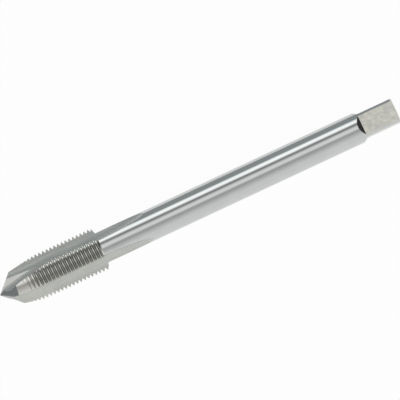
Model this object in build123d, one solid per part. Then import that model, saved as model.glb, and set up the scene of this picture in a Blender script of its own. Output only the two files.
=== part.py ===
from build123d import *
import os
from math import acos, atan, cos, degrees, pi, radians, sin, tan

# A right-hand machine tap with three straight flutes and a spiral point, ground from one bar.
# Millimetres. The tap is modelled along +X with its point at x = 0, and is laid at rest at the end.
# An angle round the axis runs from +Z towards +Y, the way that the tap turns as it cuts.

# ---- Driving dimensions ----

# Shank and driving square
overall_length = 95.7
shank_diameter = 7.0
square_across_flats = 5.45
square_length = 8.1
square_shoulder_run = 1.0  # the flats climb back to the round shank over this length
square_turn = 4.0  # degrees that the square is turned from the top land
end_chamfer = 0.3

# Centre hole in the square's end face
centre_hole_angle = 60.0  # degrees, whole cone
centre_hole_mouth = 3.35
centre_hole_pilot = 1.6
centre_hole_pilot_depth = 1.6
drill_point_angle = 118.0  # degrees, whole cone

# Thread
thread_diameter = 9.8
pitch = 25.4 / 28
thread_angle = 55.0  # degrees between the two flanks
flat_share = 1 / 6  # width of the crest flat and of the root flat, as a share of the pitch
thread_length = 24.15  # from the point to the back end of the crests
thread_back_run = 0.46  # the crests fall to the shank over this length
last_crest_setback = 0.52  # from the crests' back end to the top land's last whole crest

# Point and chamfered lead
point_half_angle = 45.0  # degrees between the point's cone and the axis
lead_front_diameter = 8.2
lead_angle = 8.8  # degrees between the lead and the axis
lead_relief_offset = 0.44  # each land's lead is turned about an axis this far off the tap's own

# Flutes
flute_count = 3
core_diameter = 4.82
land_angle = 53.0  # degrees that a land takes at the crests
flute_straight_length = 24.6  # from the point to where the flutes start to run out
flute_wheel_diameter = 120.0  # the grinding wheel leaves the shank on this circle

# Spiral point: one slanting groove along the leading edge of each land
nose_length = 12.3  # from the point to where the slanting edge meets the straight one
nose_shear_angle = 11.3  # degrees between the cutting face and the axis
nose_hook_angle = 11.3  # degrees that the cutting face leans forward from the radius
nose_core_diameter = 2.55  # twice the floor's distance from the axis, at the point
nose_floor_rise = 1.9  # degrees that the floor climbs towards the shank
nose_floor_turn = 20.0  # degrees that the floor faces away from the land's middle
nose_corner_radius = 2.0

# ---- Sizes that follow ----

cut_margin = 1.0  # how far a cutter reaches past the metal

shank_radius = shank_diameter / 2
crest_radius = thread_diameter / 2
core_radius = core_diameter / 2
flat_distance = square_across_flats / 2
square_start = overall_length - square_length
shank_end = square_start - square_shoulder_run
lead_slope = tan(radians(lead_angle))
lead_front_radius = lead_front_diameter / 2
lead_front = lead_front_radius / tan(radians(point_half_angle))

# Thread section: a sharp triangle with both tips cut to flats
half_flank_angle = radians(thread_angle / 2)
flat_width = flat_share * pitch
thread_depth = (pitch / 2 - flat_width) / tan(half_flank_angle)
root_radius = crest_radius - thread_depth
helix_angle = degrees(atan(pitch / (pi * (crest_radius + root_radius))))
top_crest = thread_length - last_crest_setback

# Flute section: one circle through both edges of the flute and the core
land_spacing = 360 / flute_count
half_flute_angle = radians((land_spacing - land_angle) / 2)
flute_centre = (crest_radius**2 - core_radius**2) / (2 * (crest_radius * cos(half_flute_angle) - core_radius))
flute_radius = flute_centre - core_radius
wheel_path_radius = flute_wheel_diameter / 2 - flute_radius


def around(angle):
    """The turn about the axis that takes the top of the tap to this angle."""
    return Rot(X=-angle)


def ground_blank():
    """Shank, thread cylinder and conical point, before anything is cut into them."""
    outline = Polyline(
        (0, 0),
        (crest_radius / tan(radians(point_half_angle)), crest_radius),
        (thread_length, crest_radius),
        (thread_length + thread_back_run, shank_radius),
        (overall_length - end_chamfer, shank_radius),
        (overall_length, shank_radius - end_chamfer),
        (overall_length, 0),
        close=True,
    )
    return revolve(Plane.XZ * make_face(outline), Axis.X)


def flute_cutter():
    """A straight round-bottomed flute on top of the tap, leaving it on the wheel's circle."""
    start = -cut_margin
    section = Pos(0, flute_centre) * Circle(flute_radius)
    straight = extrude(Plane.YZ.offset(start) * section, flute_straight_length - start)
    axle = Axis((flute_straight_length, 0, flute_centre + wheel_path_radius), (0, -1, 0))
    climb = shank_radius - core_radius + cut_margin
    run_out_angle = degrees(acos(1 - climb / (flute_wheel_diameter / 2)))
    run_out = revolve(Plane.YZ.offset(flute_straight_length) * section, axle, run_out_angle)
    return straight + run_out


def nose_corner(x):
    """Where the cutting face and the floor of the top land's groove meet, across and up."""
    hook = tan(radians(nose_hook_angle))
    shear = tan(radians(nose_shear_angle))
    half_land = radians(land_angle / 2)
    edge_across = crest_radius * sin(half_land)
    edge_up = crest_radius * cos(half_land)
    face_across = edge_across - hook * edge_up + shear * (x - nose_length)
    floor_distance = nose_core_diameter / 2 + tan(radians(nose_floor_rise)) * x
    turn = radians(nose_floor_turn)
    up = (floor_distance - face_across * sin(turn)) / (cos(turn) + hook * sin(turn))
    return Vector(face_across + hook * up, up)


def nose_cutter():
    """The slanting groove that gives the top land its spiral-point cutting edge."""
    back = nose_length + crest_radius
    front = -cut_margin
    corner = nose_corner(back)
    reach = thread_diameter
    face_end = corner + reach * Vector(sin(radians(nose_hook_angle)), cos(radians(nose_hook_angle)))
    floor_end = corner + reach * Vector(cos(radians(nose_floor_turn)), -sin(radians(nose_floor_turn)))
    section = make_face(Polyline(corner, face_end, floor_end, close=True))
    section = fillet(section.vertices().sort_by_distance(corner)[0], nose_corner_radius)
    slant = nose_corner(front) - corner
    travel = Vector(front - back, slant.X, slant.Y)
    return extrude(Plane.YZ.offset(back) * section, travel.length, dir=travel)


def lead_relief_cutter():
    """What is ground off the top land's lead, deeper at its heel than at its cutting edge."""
    start = -cut_margin
    reach = crest_radius + cut_margin
    lead_back = lead_front + (reach - lead_front_radius) / lead_slope
    sector = Rot(Z=90 - land_spacing / 2) * Rectangle(2 * reach, 2 * reach, align=Align.MIN)
    mirrored = mirror(sector, Plane.YZ)
    sector = sector & mirrored
    block = extrude(Plane.YZ.offset(start) * sector, lead_back - start)
    start_radius = lead_front_radius + (start - lead_front) * lead_slope
    lead_cone = Cone(start_radius, reach, lead_back - start, align=(Align.CENTER, Align.CENTER, Align.MIN))
    return block - Plane.YZ.offset(start) * Pos(lead_relief_offset, 0) * lead_cone


def square_flat_cutter():
    """One flat of the driving square, on top of the tap, with its sloping shoulder."""
    shoulder_slope = (shank_radius - flat_distance) / square_shoulder_run
    shoulder_top = flat_distance + shoulder_slope * (square_shoulder_run + cut_margin)
    outline = Polyline(
        (overall_length + cut_margin, flat_distance),
        (square_start, flat_distance),
        (shank_end - cut_margin, shoulder_top),
        (overall_length + cut_margin, shoulder_top),
        close=True,
    )
    return extrude(Plane.XZ * make_face(outline), shank_radius + cut_margin, both=True)


def centre_hole_cutter():
    """Countersunk centre hole in the end face, with its drilled pilot."""
    mouth_radius = centre_hole_mouth / 2
    pilot_radius = centre_hole_pilot / 2
    cone_depth = (mouth_radius - pilot_radius) / tan(radians(centre_hole_angle / 2))
    pilot_end = overall_length - cone_depth - centre_hole_pilot_depth
    outline = Polyline(
        (overall_length, 0),
        (overall_length, mouth_radius),
        (overall_length - cone_depth, pilot_radius),
        (pilot_end, pilot_radius),
        (pilot_end - pilot_radius / tan(radians(drill_point_angle / 2)), 0),
        close=True,
    )
    return revolve(Plane.XZ * make_face(outline), Axis.X)


def thread_groove_cutter():
    """One groove between two crests, over the width of the top land and a little more.

    Across one land the helix is a circle tilted by the helix angle about the land's middle.
    """
    reach = 80.0
    spare_height = (flat_width / 4) / tan(half_flank_angle)
    half_bottom = flat_width / 2
    half_top = half_bottom + (thread_depth + spare_height) * tan(half_flank_angle)
    outline = Polyline(
        (-half_bottom, root_radius),
        (half_bottom, root_radius),
        (half_top, crest_radius + spare_height),
        (-half_top, crest_radius + spare_height),
        close=True,
    )
    ring = revolve(Plane.XZ * make_face(outline), Axis.X, reach)
    return Rot(Z=helix_angle) * Rot(X=-reach / 2) * ring


def thread_groove_places(land):
    """The grooves' places along one land, from the back end to the lead's front."""
    places = []
    x = top_crest + pitch / 2 - pitch * land / flute_count
    if x + pitch < thread_length + thread_back_run:
        x += pitch
    first_cut = lead_front + (root_radius - lead_relief_offset - lead_front_radius) / lead_slope
    while x > first_cut:
        places.append(x)
        x -= pitch
    return places


def threaded_tap():
    """The finished tap, along +X with its point at the origin."""
    tap = ground_blank()
    flute = flute_cutter()
    nose = nose_cutter()
    relief = lead_relief_cutter()
    groove = thread_groove_cutter()
    grooves = []
    for land in range(flute_count):
        land_middle = around(land * land_spacing)
        tap -= around((land + 0.5) * land_spacing) * flute
        tap -= land_middle * nose
        tap -= land_middle * relief
        grooves += [land_middle * Pos(x) * groove for x in thread_groove_places(land)]
    flat = square_flat_cutter()
    for side in range(4):
        tap -= around(square_turn + side * 90) * flat
    tap -= centre_hole_cutter()
    return tap - grooves


def lay_at_rest(tap):
    """One land on top: the tap lies on the edges of the other two and on the end of its shank."""
    land_drop = crest_radius * cos(half_flute_angle)
    rest_angle = atan((land_drop - shank_radius) / (shank_end - thread_length))
    tap = Rot(Y=degrees(rest_angle)) * tap
    box = tap.bounding_box()
    lift = shank_end * sin(rest_angle) + shank_radius * cos(rest_angle)
    return Pos(-box.center().X, 0, lift) * tap


thread_tap = lay_at_rest(threaded_tap())

os.makedirs("parts", exist_ok=True)
export_step(thread_tap, "parts/thread_tap.step")
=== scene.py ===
import bpy
from math import acos, atan, atan2, cos, degrees, hypot, pi, radians, sin, tan
from mathutils import Euler, Matrix, Vector


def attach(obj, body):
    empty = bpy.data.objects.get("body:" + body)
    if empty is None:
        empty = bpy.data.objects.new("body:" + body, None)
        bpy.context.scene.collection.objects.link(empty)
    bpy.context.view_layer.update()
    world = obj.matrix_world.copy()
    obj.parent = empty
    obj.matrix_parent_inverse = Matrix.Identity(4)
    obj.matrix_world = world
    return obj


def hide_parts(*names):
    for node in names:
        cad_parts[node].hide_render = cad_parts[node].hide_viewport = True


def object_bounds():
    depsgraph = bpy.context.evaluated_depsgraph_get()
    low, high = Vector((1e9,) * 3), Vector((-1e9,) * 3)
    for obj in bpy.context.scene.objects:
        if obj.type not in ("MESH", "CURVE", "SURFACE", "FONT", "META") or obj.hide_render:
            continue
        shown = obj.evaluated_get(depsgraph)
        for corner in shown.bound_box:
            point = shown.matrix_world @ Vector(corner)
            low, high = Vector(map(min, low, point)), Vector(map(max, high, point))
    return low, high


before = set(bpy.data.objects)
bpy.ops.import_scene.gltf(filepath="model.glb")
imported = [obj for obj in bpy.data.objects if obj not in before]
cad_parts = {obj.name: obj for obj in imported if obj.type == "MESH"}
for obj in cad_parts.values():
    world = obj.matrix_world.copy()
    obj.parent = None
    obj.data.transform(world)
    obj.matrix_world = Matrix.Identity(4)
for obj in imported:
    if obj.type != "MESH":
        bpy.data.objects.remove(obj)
cad_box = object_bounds()

# The tap is modelled in millimetres along +X with its point at the origin and one land on top,
# then laid at rest and brought to metres. Angles round the axis run from +Z towards +Y.
MM = 0.001

# ---- Sizes of the tap, in millimetres and degrees ----

OVERALL_LENGTH = 95.7
SHANK_RADIUS = 3.5
FLAT_DISTANCE = 2.725
SQUARE_START = 87.6
SHANK_END = 86.6
SQUARE_SIDES = 4
SQUARE_TURN = 4.0
END_CHAMFER = 0.3

CENTRE_MOUTH_RADIUS = 1.675
CENTRE_PILOT_RADIUS = 0.8
CENTRE_PILOT_DEPTH = 1.6
CENTRE_CONE = tan(radians(30))
DRILL_POINT = tan(radians(59))

CREST_RADIUS = 4.9
PITCH = 25.4 / 28
FLANK_ANGLE = radians(27.5)
THREAD_FLAT = PITCH / 6
THREAD_DEPTH = (PITCH / 2 - THREAD_FLAT) / tan(FLANK_ANGLE)
ROOT_RADIUS = CREST_RADIUS - THREAD_DEPTH
THREAD_END = 24.15
THREAD_BACK = 24.61
TOP_CREST = 23.63  # the last whole crest of the top land
THREAD_TURNS = 24
THREAD_OVERRUN = 2  # turns of the groove behind the last whole crest, past the thread's back

LEAD_FRONT = 4.1
LEAD_SLOPE = tan(radians(8.8))
LEAD_OFFSET = 0.44  # the lead is turned about an axis this far off the tap's own
LEAD_AHEAD = 3.0  # how far in front of the lead its cutter starts

LANDS = 3
LAND_SPACING = 360 / LANDS
LEAD_SWEEP = radians(116)  # a little less than the spacing of the lands
HALF_LAND = radians(26.5)
HALF_FLUTE = radians(LAND_SPACING / 2) - HALF_LAND
CORE_RADIUS = 2.41
FLUTE_CENTRE = (CREST_RADIUS**2 - CORE_RADIUS**2) / (2 * (CREST_RADIUS * cos(HALF_FLUTE) - CORE_RADIUS))
FLUTE_RADIUS = FLUTE_CENTRE - CORE_RADIUS
FLUTE_STRAIGHT = 24.6
WHEEL_RADIUS = 60.0

NOSE_LENGTH = 12.3
NOSE_SHEAR = tan(radians(11.3))
NOSE_HOOK = radians(11.3)
NOSE_CORE = 1.275
NOSE_RISE = tan(radians(1.9))
NOSE_TURN = radians(20)
NOSE_CORNER = 2.0

# ---- How finely the tap is modelled ----

CUT = 1.0  # how far a cutter reaches past the metal
ROUND_STEPS = 240
FLUTE_STEPS = 128
RUN_OUT_STEPS = 24
CORNER_STEPS = 32
HOLE_STEPS = 64
NEAR = 0.01  # closer than this, two places are the same
CUTTER_MERGE = 0.0005  # vertices this close become one
TAP_MERGE = 0.0012
SMOOTH_ANGLE = radians(6)

# ---- Where each finish lies ----

# In the order of the material slots
BRIGHT, TEETH, LEAD, FLUTE, NOSE, MILLED, SLOPE = range(7)
HIGHLIGHT_MARGIN = 1.2  # how far back from the cutting edge the teeth carry a painted highlight
CREST_HIGHLIGHT = 0.55  # how strong the painted highlight is on the crests, beside the cutting edges
HIGHLIGHT_ATTRIBUTE = "painted_highlight"
FLOOR_LEAN = 0.36  # a face of the nose groove that leans over more than this is not its floor, and takes the flute's finish rather than the nose's painted highlight
UPRIGHT = 0.5  # a face whose normal points less than this across the tap is a flat or its shoulder


# ---- Modelling helpers ----

def only(piece):
    bpy.ops.object.select_all(action="DESELECT")
    piece.select_set(True)
    bpy.context.view_layer.objects.active = piece


def edit(piece, mode="VERT"):
    only(piece)
    bpy.ops.object.mode_set(mode="EDIT")
    bpy.ops.mesh.select_mode(type=mode)


def leave_edit():
    bpy.ops.object.mode_set(mode="OBJECT")


def pick_faces(piece, wanted):
    """Selects the faces for which wanted(face) holds, from object mode, and goes into edit mode."""
    edit(piece, "FACE")
    bpy.ops.mesh.select_all(action="DESELECT")
    leave_edit()
    for face in piece.data.polygons:
        face.select = wanted(face)
    bpy.ops.object.mode_set(mode="EDIT")


def draw_outline(name, corners, filled=True):
    """Draws an outline corner by corner, starting from one vertex, and fills it."""
    bpy.ops.object.select_all(action="DESELECT")
    bpy.ops.mesh.primitive_plane_add(size=1)
    piece = bpy.context.object
    piece.name = name
    edit(piece)
    bpy.ops.mesh.select_all(action="SELECT")
    bpy.ops.mesh.merge(type="CENTER")
    bpy.ops.transform.translate(value=corners[0])
    for here, there in zip(corners, corners[1:]):
        step = Vector(there) - Vector(here)
        bpy.ops.mesh.extrude_vertices_move(TRANSFORM_OT_translate={"value": step})
    if filled:
        bpy.ops.mesh.select_all(action="SELECT")
        bpy.ops.mesh.edge_face_add()
    leave_edit()
    return piece


def finish_solid(piece, finish):
    """Merges doubles, turns all faces outwards and gives them one finish."""
    edit(piece)
    bpy.ops.mesh.select_all(action="SELECT")
    bpy.ops.mesh.remove_doubles(threshold=CUTTER_MERGE)
    bpy.ops.mesh.normals_make_consistent(inside=False)
    leave_edit()
    for slot in finishes:
        piece.data.materials.append(slot)
    for face in piece.data.polygons:
        face.material_index = finish
    return piece


def around(piece, angle):
    """A copy of a cutter, turned about the tap's axis."""
    copy = piece.copy()
    copy.data = piece.data.copy()
    bpy.context.collection.objects.link(copy)
    copy.data.transform(Matrix.Rotation(radians(-angle), 4, "X"))
    return copy


def cut(piece, cutter):
    """Takes the cutter's shape out of the piece, and removes the cutter."""
    only(piece)
    difference = piece.modifiers.new("cut", "BOOLEAN")
    difference.operation = "DIFFERENCE"
    difference.solver = "EXACT"
    difference.object = cutter
    bpy.ops.object.modifier_apply(modifier=difference.name)
    bpy.data.objects.remove(cutter)


# ---- The tap's blank and its cutters ----

def ground_blank():
    """Point, thread cylinder and shank, turned about the axis from their profile."""
    profile = [
        (0, 0, 0),
        (CREST_RADIUS, 0, CREST_RADIUS),
        (THREAD_END, 0, CREST_RADIUS),
        (THREAD_BACK, 0, SHANK_RADIUS),
        (OVERALL_LENGTH - END_CHAMFER, 0, SHANK_RADIUS),
        (OVERALL_LENGTH, 0, SHANK_RADIUS - END_CHAMFER),
        (OVERALL_LENGTH, 0, 0),
    ]
    blank = draw_outline("thread_tap_ground", profile, filled=False)
    edit(blank)
    bpy.ops.mesh.select_all(action="SELECT")
    bpy.ops.mesh.spin(steps=ROUND_STEPS, angle=2 * pi, center=(0, 0, 0), axis=(1, 0, 0))
    leave_edit()
    finish_solid(blank, BRIGHT)
    for face in blank.data.polygons:
        if face.center.x < CREST_RADIUS:
            face.material_index = SLOPE
    return blank


def thread_cutter():
    """The groove between the crests, one trapezium wound up along the helix."""
    spare = (THREAD_FLAT / 4) / tan(FLANK_ANGLE)
    half_bottom = THREAD_FLAT / 2
    half_top = half_bottom + (THREAD_DEPTH + spare) * tan(FLANK_ANGLE)
    x = TOP_CREST + PITCH / 2 + PITCH * (THREAD_OVERRUN - THREAD_TURNS)
    corners = [
        (x - half_bottom, 0, ROOT_RADIUS),
        (x + half_bottom, 0, ROOT_RADIUS),
        (x + half_top, 0, CREST_RADIUS + spare),
        (x - half_top, 0, CREST_RADIUS + spare),
    ]
    groove = draw_outline("thread_cutter", corners)
    edit(groove, "FACE")
    bpy.ops.mesh.select_all(action="SELECT")
    bpy.ops.mesh.delete(type="ONLY_FACE")
    leave_edit()
    winding = groove.modifiers.new("wind", "SCREW")
    winding.axis = "X"
    winding.angle = 2 * pi
    winding.screw_offset = PITCH
    winding.iterations = THREAD_TURNS
    winding.steps = FLUTE_STEPS
    winding.render_steps = FLUTE_STEPS
    winding.use_merge_vertices = False
    only(groove)
    bpy.ops.object.modifier_apply(modifier=winding.name)
    edit(groove)
    bpy.ops.mesh.select_all(action="SELECT")
    bpy.ops.mesh.fill_holes(sides=len(corners))
    leave_edit()
    return finish_solid(groove, TEETH)


def lead_cutter():
    """What is ground off the top land's lead: a profile spun about an axis beside the tap's own."""
    start = LEAD_FRONT - LEAD_AHEAD
    reach = CREST_RADIUS + CUT
    back = LEAD_FRONT + (reach - LEAD_FRONT) / LEAD_SLOPE
    start_radius = LEAD_FRONT + (start - LEAD_FRONT) * LEAD_SLOPE
    corners = [
        (start, LEAD_OFFSET, start_radius),
        (back, LEAD_OFFSET, reach),
        (back, LEAD_OFFSET, reach + CUT),
        (start, LEAD_OFFSET, reach + CUT),
    ]
    lead = draw_outline("lead_cutter", corners)
    lead.data.transform(Matrix.Translation((0, -LEAD_OFFSET, 0)))
    lead.data.transform(Matrix.Rotation(-LEAD_SWEEP / 2, 4, "X"))
    lead.data.transform(Matrix.Translation((0, LEAD_OFFSET, 0)))
    edit(lead)
    bpy.ops.mesh.select_all(action="SELECT")
    bpy.ops.mesh.spin(
        steps=ROUND_STEPS // LANDS, angle=LEAD_SWEEP, center=(0, LEAD_OFFSET, 0), axis=(-1, 0, 0))
    leave_edit()
    return finish_solid(lead, LEAD)


def flute_cutter():
    """A round flute over the top of the tap: a disc spun on the wheel's circle, then drawn forwards."""
    bpy.ops.object.select_all(action="DESELECT")
    bpy.ops.mesh.primitive_circle_add(
        vertices=FLUTE_STEPS, radius=FLUTE_RADIUS, fill_type="NGON",
        location=(FLUTE_STRAIGHT, 0, FLUTE_CENTRE), rotation=(0, pi / 2, 0))
    flute = bpy.context.object
    flute.name = "flute_cutter"
    bpy.ops.object.transform_apply(location=True, rotation=True, scale=True)
    path_radius = WHEEL_RADIUS - FLUTE_RADIUS
    climb = SHANK_RADIUS - CORE_RADIUS + CUT
    edit(flute)
    bpy.ops.mesh.select_all(action="SELECT")
    bpy.ops.mesh.spin(
        steps=RUN_OUT_STEPS, angle=acos(1 - climb / WHEEL_RADIUS),
        center=(FLUTE_STRAIGHT, 0, FLUTE_CENTRE + path_radius), axis=(0, 1, 0))
    leave_edit()
    pick_faces(flute, lambda face: len(face.vertices) > 4 and face.center.x < FLUTE_STRAIGHT + NEAR)
    bpy.ops.mesh.extrude_region_move(TRANSFORM_OT_translate={"value": (-FLUTE_STRAIGHT - CUT, 0, 0)})
    leave_edit()
    return finish_solid(flute, FLUTE)


def nose_corner(x):
    """The point (x, across, up) where the cutting face meets the floor of the top land's groove."""
    edge_across = CREST_RADIUS * sin(HALF_LAND)
    edge_up = CREST_RADIUS * cos(HALF_LAND)
    face_across = edge_across - tan(NOSE_HOOK) * edge_up + NOSE_SHEAR * (x - NOSE_LENGTH)
    floor = NOSE_CORE + NOSE_RISE * x
    up = (floor - face_across * sin(NOSE_TURN)) / (cos(NOSE_TURN) + tan(NOSE_HOOK) * sin(NOSE_TURN))
    return Vector((x, face_across + tan(NOSE_HOOK) * up, up))


def nose_cutter():
    """The slanting groove of the spiral point: a wedge with a rounded corner, drawn along its slant."""
    back = nose_corner(NOSE_LENGTH + CREST_RADIUS)
    front = nose_corner(-CUT)
    reach = 2 * CREST_RADIUS
    face_end = back + reach * Vector((0, sin(NOSE_HOOK), cos(NOSE_HOOK)))
    floor_end = back + reach * Vector((0, cos(NOSE_TURN), -sin(NOSE_TURN)))
    wedge = draw_outline("nose_cutter", [back, face_end, floor_end])
    edit(wedge)
    bpy.ops.mesh.select_all(action="DESELECT")
    leave_edit()
    for corner in wedge.data.vertices:
        corner.select = (corner.co - back).length < NEAR
    bpy.ops.object.mode_set(mode="EDIT")
    opening = pi / 2 - NOSE_HOOK + NOSE_TURN
    bpy.ops.mesh.bevel(
        offset_type="OFFSET", offset=NOSE_CORNER / tan(opening / 2),
        segments=CORNER_STEPS, profile=0.5, affect="VERTICES", clamp_overlap=False)
    bpy.ops.mesh.select_all(action="SELECT")
    bpy.ops.mesh.extrude_region_move(TRANSFORM_OT_translate={"value": front - back})
    leave_edit()
    finish_solid(wedge, NOSE)
    for face in wedge.data.polygons:
        # the fillet takes the flute's duller finish, so the painted highlight stays on the groove's floor
        if face.normal.y < -FLOOR_LEAN:
            face.material_index = FLUTE
    return wedge


def square_cutter():
    """One flat of the square, on top of the tap, with its sloping shoulder."""
    slope = (SHANK_RADIUS - FLAT_DISTANCE) / (SQUARE_START - SHANK_END)
    top = FLAT_DISTANCE + slope * (SQUARE_START - SHANK_END + CUT)
    half_width = SHANK_RADIUS + CUT
    corners = [
        (OVERALL_LENGTH + CUT, -half_width, FLAT_DISTANCE),
        (SQUARE_START, -half_width, FLAT_DISTANCE),
        (SHANK_END - CUT, -half_width, top),
        (OVERALL_LENGTH + CUT, -half_width, top),
    ]
    flat = draw_outline("square_cutter", corners)
    edit(flat)
    bpy.ops.mesh.select_all(action="SELECT")
    bpy.ops.mesh.extrude_region_move(TRANSFORM_OT_translate={"value": (0, 2 * half_width, 0)})
    leave_edit()
    finish_solid(flat, MILLED)
    for face in flat.data.polygons:
        if face.center.x < SQUARE_START and abs(face.normal.y) < UPRIGHT:
            face.material_index = SLOPE
    return flat


def centre_hole_cutter():
    """The countersunk centre hole in the square's end face."""
    cone_end = OVERALL_LENGTH - (CENTRE_MOUTH_RADIUS - CENTRE_PILOT_RADIUS) / CENTRE_CONE
    pilot_end = cone_end - CENTRE_PILOT_DEPTH
    flare = CENTRE_CONE * CUT
    profile = [
        (pilot_end - CENTRE_PILOT_RADIUS / DRILL_POINT, 0, 0),
        (pilot_end, 0, CENTRE_PILOT_RADIUS),
        (cone_end, 0, CENTRE_PILOT_RADIUS),
        (OVERALL_LENGTH + CUT, 0, CENTRE_MOUTH_RADIUS + flare),
        (OVERALL_LENGTH + CUT, 0, 0),
    ]
    hole = draw_outline("centre_hole_cutter", profile, filled=False)
    edit(hole)
    bpy.ops.mesh.select_all(action="SELECT")
    bpy.ops.mesh.spin(steps=HOLE_STEPS, angle=2 * pi, center=(0, 0, 0), axis=(1, 0, 0))
    leave_edit()
    return finish_solid(hole, MILLED)


def mark_painted_highlight(piece):
    """Stores a painted highlight on the teeth: most at the cutting edges, less on crests, least in roots."""
    painted_highlight = piece.data.attributes.new(HIGHLIGHT_ATTRIBUTE, "FLOAT", "POINT")
    for vertex, mark in zip(piece.data.vertices, painted_highlight.data):
        turn = degrees(atan2(vertex.co.y, vertex.co.z))
        land = round(turn / LAND_SPACING)
        place = Matrix.Rotation(radians(land * LAND_SPACING), 3, "X") @ vertex.co
        face = nose_corner(min(place.x, NOSE_LENGTH))
        distance = face.y + tan(NOSE_HOOK) * (place.z - face.z) - place.y
        height = (hypot(place.y, place.z) - ROOT_RADIUS) / THREAD_DEPTH
        mark.value = min(max(1 - distance / HIGHLIGHT_MARGIN, CREST_HIGHLIGHT * height, 0), 1)


def lay_at_rest(piece):
    """Tips the tap onto its two lower lands and its shank's end, centres it and brings it to metres."""
    land_drop = CREST_RADIUS * cos(HALF_FLUTE)
    rest_angle = atan((land_drop - SHANK_RADIUS) / (SHANK_END - THREAD_END))
    lift = SHANK_END * sin(rest_angle) + SHANK_RADIUS * cos(rest_angle)
    piece.data.transform(Matrix.Rotation(rest_angle, 4, "Y"))
    piece.data.transform(Matrix.Translation((0, 0, lift)))
    piece.data.transform(Matrix.Scale(MM, 4))
    piece.data.transform(Matrix.Translation((cad_box[0].x, 0, 0)))


def tap():
    """The blank, cut by every cutter in turn, each repeated round the axis."""
    piece = ground_blank()
    cut(piece, thread_cutter())
    lead, flute, nose = lead_cutter(), flute_cutter(), nose_cutter()
    for land in range(LANDS):
        angle = land * LAND_SPACING
        cut(piece, around(lead, angle))
        cut(piece, around(flute, angle + LAND_SPACING / 2))
        cut(piece, around(nose, angle))
    flat = square_cutter()
    for side in range(SQUARE_SIDES):
        cut(piece, around(flat, SQUARE_TURN + side * 360 / SQUARE_SIDES))
    cut(piece, centre_hole_cutter())
    for cutter in (lead, flute, nose, flat):
        bpy.data.objects.remove(cutter)
    edit(piece)
    bpy.ops.mesh.select_all(action="SELECT")
    bpy.ops.mesh.remove_doubles(threshold=TAP_MERGE)
    bpy.ops.mesh.normals_make_consistent(inside=False)
    leave_edit()
    mark_painted_highlight(piece)
    lay_at_rest(piece)
    only(piece)
    bpy.ops.object.shade_smooth_by_angle(angle=SMOOTH_ANGLE)
    for face in piece.data.polygons:
        if face.material_index == SLOPE:
            face.use_smooth = False  # the faces of the cone all meet at its tip
    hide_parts("thread_tap")
    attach(piece, "root")


# ---- Finishes ----

# Noise in waves to the metre along X, Y and Z: round the tap, along it, and across the square's flats
ROUND_MARKS = (9000, 90, 90)
LONG_MARKS = (120, 5000, 5000)
MILLED_MARKS = (900, 2500, 2500)
PATCHES = (250, 250, 250)
MILLED_PATCHES = (1100, 500, 500)
MARK_DETAIL = 3.0
PATCH_DETAIL = 4.0
NOISE_LOW, NOISE_HIGH = 0.3, 0.7  # the noise's middle range, beyond which it is held

MARK_DEPTH = 0.004 * MM
MARK_STRENGTH = 0.3
GLOSS_SPREAD = 0.2  # how far the marks take the roughness up and down, as a share of it
# the colour of the painted highlight on the teeth's cutting edges and crests
HIGHLIGHT_STEEL = (0.92, 0.91, 0.89, 1)
HIGHLIGHT_GLOSS = 0.5  # roughness where the highlight is painted, as a share of the teeth's


def node(tree, kind, inputs, **settings):
    """Adds a shader node. Each input is given a value or another node's output."""
    made = tree.nodes.new("ShaderNode" + kind)
    for name, value in settings.items():
        setattr(made, name, value)
    for name, value in inputs.items():
        if isinstance(value, bpy.types.NodeSocket):
            tree.links.new(value, made.inputs[name])
        else:
            made.inputs[name].default_value = value
    return made


def noise(tree, place, scale, detail):
    """Noise drawn out by its scale along X, Y and Z, in waves to the metre."""
    drawn_out = node(tree, "Mapping", {"Vector": place, "Scale": scale}).outputs[0]
    return node(tree, "TexNoise", {"Vector": drawn_out, "Scale": 1.0, "Detail": detail}).outputs[0]


def between(tree, factor, low, high):
    """Turns a noise's middle range into values from low to high."""
    limits = {"Value": factor, "From Min": NOISE_LOW, "From Max": NOISE_HIGH, "To Min": low, "To Max": high}
    return node(tree, "MapRange", limits).outputs[0]


def steel(name, dark, light, roughness, marks, patches=PATCHES, highlighted=False):
    """Bare steel in two tones, with the wheel's marks in its gloss and its relief."""
    finish = bpy.data.materials.new(name)
    finish.use_nodes = True
    tree = finish.node_tree
    shader = tree.nodes["Principled BSDF"]
    place = node(tree, "TexCoord", {}).outputs["Object"]
    scratches = noise(tree, place, marks, MARK_DETAIL)
    tone = between(tree, noise(tree, place, patches, PATCH_DETAIL), 0, 1)
    color = node(tree, "MixRGB", {"Fac": tone, "Color1": (*dark, 1), "Color2": (*light, 1)})
    # the painted highlight, mixed in as far as the stored value says
    if highlighted:
        edge = node(tree, "Attribute", {}, attribute_name=HIGHLIGHT_ATTRIBUTE).outputs["Fac"]
        color = node(tree, "MixRGB", {"Fac": edge, "Color1": color.outputs[0], "Color2": HIGHLIGHT_STEEL})
    gloss = between(tree, scratches, roughness * (1 - GLOSS_SPREAD), roughness * (1 + GLOSS_SPREAD))
    if highlighted:
        keep = node(tree, "MapRange", {"Value": edge, "To Min": 1.0, "To Max": HIGHLIGHT_GLOSS}).outputs[0]
        gloss = node(tree, "Math", {0: gloss, 1: keep}, operation="MULTIPLY").outputs[0]
    relief = node(tree, "Bump", {"Height": scratches, "Strength": MARK_STRENGTH, "Distance": MARK_DEPTH})
    tree.links.new(color.outputs[0], shader.inputs["Base Color"])
    tree.links.new(gloss, shader.inputs["Roughness"])
    tree.links.new(relief.outputs[0], shader.inputs["Normal"])
    shader.inputs["Metallic"].default_value = 1
    return finish


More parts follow.
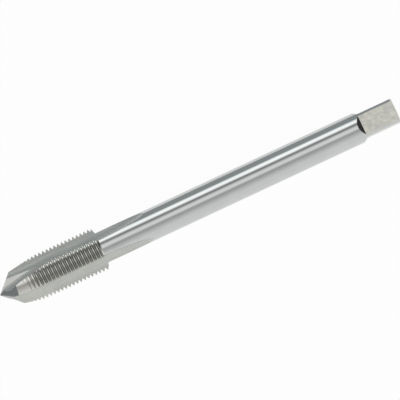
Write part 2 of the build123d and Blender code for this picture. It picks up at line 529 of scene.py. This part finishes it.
finishes = [
    steel("bright_ground_shank", (0.55, 0.565, 0.56), (0.585, 0.60, 0.59), 0.11, ROUND_MARKS),
    # the teeth carry a painted highlight on their cutting edges and crests
    steel("ground_teeth_painted_highlight", (0.36, 0.365, 0.345), (0.42, 0.425, 0.395), 0.31, ROUND_MARKS, highlighted=True),
    # painted highlight: the lead's steel is written lighter than the shank's
    steel("ground_lead_painted_highlight", (0.74, 0.73, 0.70), (0.80, 0.79, 0.755), 0.15, ROUND_MARKS),
    steel("ground_flute", (0.56, 0.575, 0.56), (0.605, 0.62, 0.59), 0.52, LONG_MARKS),
    # painted highlight: the nose groove's floor is written lighter than the flute's steel
    steel("ground_nose_painted_highlight", (0.66, 0.66, 0.64), (0.71, 0.705, 0.68), 0.28, LONG_MARKS),
    steel("milled_square", (0.615, 0.62, 0.59), (0.765, 0.75, 0.67), 0.40, MILLED_MARKS, MILLED_PATCHES),
    steel("ground_slope", (0.44, 0.45, 0.455), (0.48, 0.49, 0.495), 0.22, ROUND_MARKS),
]


# ---- Stage, light and camera ----

# The camera's frame: its width and height, and where the tap's point lies in it, across and down
FRAME_PIXELS = 400
TIP_PIXEL = Vector((-0.1, 295.4))
PIXEL = 0.219 * MM  # how much of the tap one pixel covers
AXIS_ANGLE = radians(25.04)  # how far the tap's axis climbs to the right
LENS = 1000
SENSOR = 36
CLIP_END = 10  # metres

PLAIN = (1.0, 1.0, 1.0)
COOL = (0.95, 1.0, 1.02)
WARM = (1.02, 1.0, 0.95)

# Light round the tap, in degrees from overhead, positive towards +Y, and its brightness.
# The walls go from bright to dim between two angles: seen square to the axis, and towards its ends.
BRIGHT_WALL, DIM_WALL, WALL_FALL = 0.94, 0.27, (-70, 18)
FAR_BRIGHT, FAR_DIM, FAR_FALL = 1.60, 0.14, (-50, 32)
TOP_STRIP, TOP_HALF_WIDTH, TOP_LEVEL = 7, 25, 0.76
SIDE_STRIP, SIDE_HALF_WIDTH, SIDE_LEVEL = 54, 23, 1.36
STRIP_CORE = 3  # half the width over which a strip is at its brightest
COOL_SIDE = (40, 75)  # from the first angle to the second, the light turns cool

# How far a direction leans along the axis, from 0 to 1, where each light starts to go and has gone
WALL_REACH = (0.17, 0.47)
TOP_REACH = (0.30, 0.60)
SIDE_REACH = (0.07, 0.37)
FAR_REACH = (0.28, 0.58)  # here the far walls come in
SQUARE_END, SQUARE_END_LEVEL = (0.75, 0.95), 0.12  # the share of light left past the square's end

# The two dark cards: width and height, place, and brightness
SIDE_CARD = (160 * MM, 10 * MM)
SIDE_CARD_PLACE = 15 * MM
SIDE_CARD_LEVEL = 0.40
POINT_CARD = (50 * MM, 12 * MM)
POINT_CARD_GAP = 12 * MM
POINT_CARD_LEVEL = 0.34

PAPER = (0.9, 0.9, 0.9, 1)
PAPER_GLOW = 0.96
PAPER_SIZE = (6, 6)  # metres


def camera():
    """Looks straight down on the tap, whose axis runs up to the right."""
    data = bpy.data.cameras.new("camera")
    data.lens = LENS
    data.sensor_width = SENSOR
    data.clip_end = CLIP_END
    eye = bpy.data.objects.new("camera", data)
    bpy.context.scene.collection.objects.link(eye)
    right = Vector((cos(AXIS_ANGLE), -sin(AXIS_ANGLE), 0))
    up = Vector((sin(AXIS_ANGLE), cos(AXIS_ANGLE), 0))
    middle = Vector((FRAME_PIXELS / 2, FRAME_PIXELS / 2)) - TIP_PIXEL
    tip = Vector((cad_box[0].x, 0, 0))
    aim = tip + right * middle.x * PIXEL - up * middle.y * PIXEL
    axis_height = (cad_box[0].z + cad_box[1].z) / 2
    distance = FRAME_PIXELS * PIXEL * LENS / SENSOR
    eye.location = aim + Vector((0, 0, axis_height + distance))
    eye.rotation_euler = Euler((0, 0, -AXIS_ANGLE))
    bpy.context.scene.camera = eye


def stand(name, size):
    """A flat sheet with an empty material of its own."""
    bpy.ops.object.select_all(action="DESELECT")
    bpy.ops.mesh.primitive_plane_add(size=1)
    sheet = bpy.context.object
    sheet.name = name
    sheet.data.transform(Matrix.Diagonal((size[0], size[1], 1, 1)))
    surface = bpy.data.materials.new(name)
    surface.use_nodes = True
    surface.node_tree.nodes.clear()
    sheet.data.materials.append(surface)
    return sheet, surface.node_tree


def floor():
    """White paper that glows for the camera and in reflections, and keeps a faint shadow."""
    sheet, tree = stand("white_paper", PAPER_SIZE)
    rays = node(tree, "LightPath", {})
    seen = rays.outputs["Is Camera Ray"]
    for ray in ("Is Glossy Ray", "Is Transmission Ray"):
        seen = node(tree, "Math", {0: seen, 1: rays.outputs[ray]}, operation="MAXIMUM").outputs[0]
    share = node(tree, "Math", {0: seen, 1: PAPER_GLOW}, operation="MULTIPLY").outputs[0]
    paper = node(tree, "BsdfDiffuse", {"Color": PAPER}).outputs[0]
    glow = node(tree, "Emission", {"Strength": 1.0}).outputs[0]
    mixed = node(tree, "MixShader", {0: share, 1: paper, 2: glow}).outputs[0]
    node(tree, "OutputMaterial", {"Surface": mixed})


def card(name, size, place, turn, level):
    """A dark card on edge beside the tap, which shows only in its reflections."""
    sheet, tree = stand(name, size)
    sheet.data.transform(Matrix.Translation((0, size[1] / 2, 0)))
    sheet.data.transform(Matrix.Rotation(pi / 2, 4, "X"))
    sheet.data.transform(Matrix.Rotation(turn, 4, "Z"))
    sheet.data.transform(Matrix.Translation(place))
    glow = node(tree, "Emission", {"Color": (*COOL, 1), "Strength": level}).outputs[0]
    node(tree, "OutputMaterial", {"Surface": glow})
    sheet.visible_camera = False
    sheet.visible_diffuse = False
    sheet.visible_shadow = False


def fall(tree, value, limits, before, after):
    """Goes softly from one level to another as the value goes between the limits."""
    low, high = limits
    spread = {"Value": value, "From Min": low, "From Max": high, "To Min": before, "To Max": after}
    return node(tree, "MapRange", spread, interpolation_type="SMOOTHSTEP").outputs[0]


def strip(tree, angle, middle, half_width, level):
    """A soft-edged strip light along the tap."""
    offset = node(tree, "Math", {0: angle, 1: middle}, operation="SUBTRACT").outputs[0]
    away = node(tree, "Math", {0: offset}, operation="ABSOLUTE").outputs[0]
    return fall(tree, away, (STRIP_CORE, half_width), level, 0)


def room():
    """The light: walls bright on one side and dim on the other, and two strips along the tap."""
    world = bpy.data.worlds.new("room")
    bpy.context.scene.world = world
    world.use_nodes = True
    tree = world.node_tree

    def sum_of(first, second):
        return node(tree, "Math", {0: first, 1: second}, operation="ADD").outputs[0]

    def product(first, second):
        return node(tree, "Math", {0: first, 1: second}, operation="MULTIPLY").outputs[0]

    def mixed(share, first, second):
        return node(tree, "MixRGB", {"Fac": share, "Color1": first, "Color2": second}).outputs[0]

    place = node(tree, "TexCoord", {}).outputs["Generated"]
    split = node(tree, "SeparateXYZ", {0: place})
    turn = node(tree, "Math", {0: split.outputs["Y"], 1: split.outputs["Z"]}, operation="ARCTAN2").outputs[0]
    angle = node(tree, "Math", {0: turn}, operation="DEGREES").outputs[0]
    aside = node(tree, "Math", {0: split.outputs["X"]}, operation="ABSOLUTE").outputs[0]

    near = fall(tree, angle, WALL_FALL, BRIGHT_WALL, DIM_WALL)
    near = product(near, fall(tree, aside, WALL_REACH, 1, 0))
    far = fall(tree, angle, FAR_FALL, FAR_BRIGHT, FAR_DIM)
    far = product(far, fall(tree, aside, FAR_REACH, 0, 1))
    top = strip(tree, angle, TOP_STRIP, TOP_HALF_WIDTH, TOP_LEVEL)
    top = product(top, fall(tree, aside, TOP_REACH, 1, 0))
    side = strip(tree, angle, SIDE_STRIP, SIDE_HALF_WIDTH, SIDE_LEVEL)
    side = product(side, fall(tree, aside, SIDE_REACH, 1, 0))
    level = sum_of(sum_of(near, far), sum_of(top, side))
    level = product(level, fall(tree, split.outputs["X"], SQUARE_END, 1, SQUARE_END_LEVEL))
    color = mixed(fall(tree, aside, WALL_REACH, 0, 1), (*PLAIN, 1), (*WARM, 1))
    color = mixed(fall(tree, angle, COOL_SIDE, 0, 1), color, (*COOL, 1))
    background = tree.nodes["Background"]
    tree.links.new(color, background.inputs["Color"])
    tree.links.new(level, background.inputs["Strength"])


camera()
floor()
card("side_card", SIDE_CARD, (0, SIDE_CARD_PLACE, 0), 0, SIDE_CARD_LEVEL)
card("point_card", POINT_CARD, (cad_box[0].x - POINT_CARD_GAP, 0, 0), pi / 2, POINT_CARD_LEVEL)
room()
tap()

bpy.context.scene.view_settings.view_transform = "Standard"
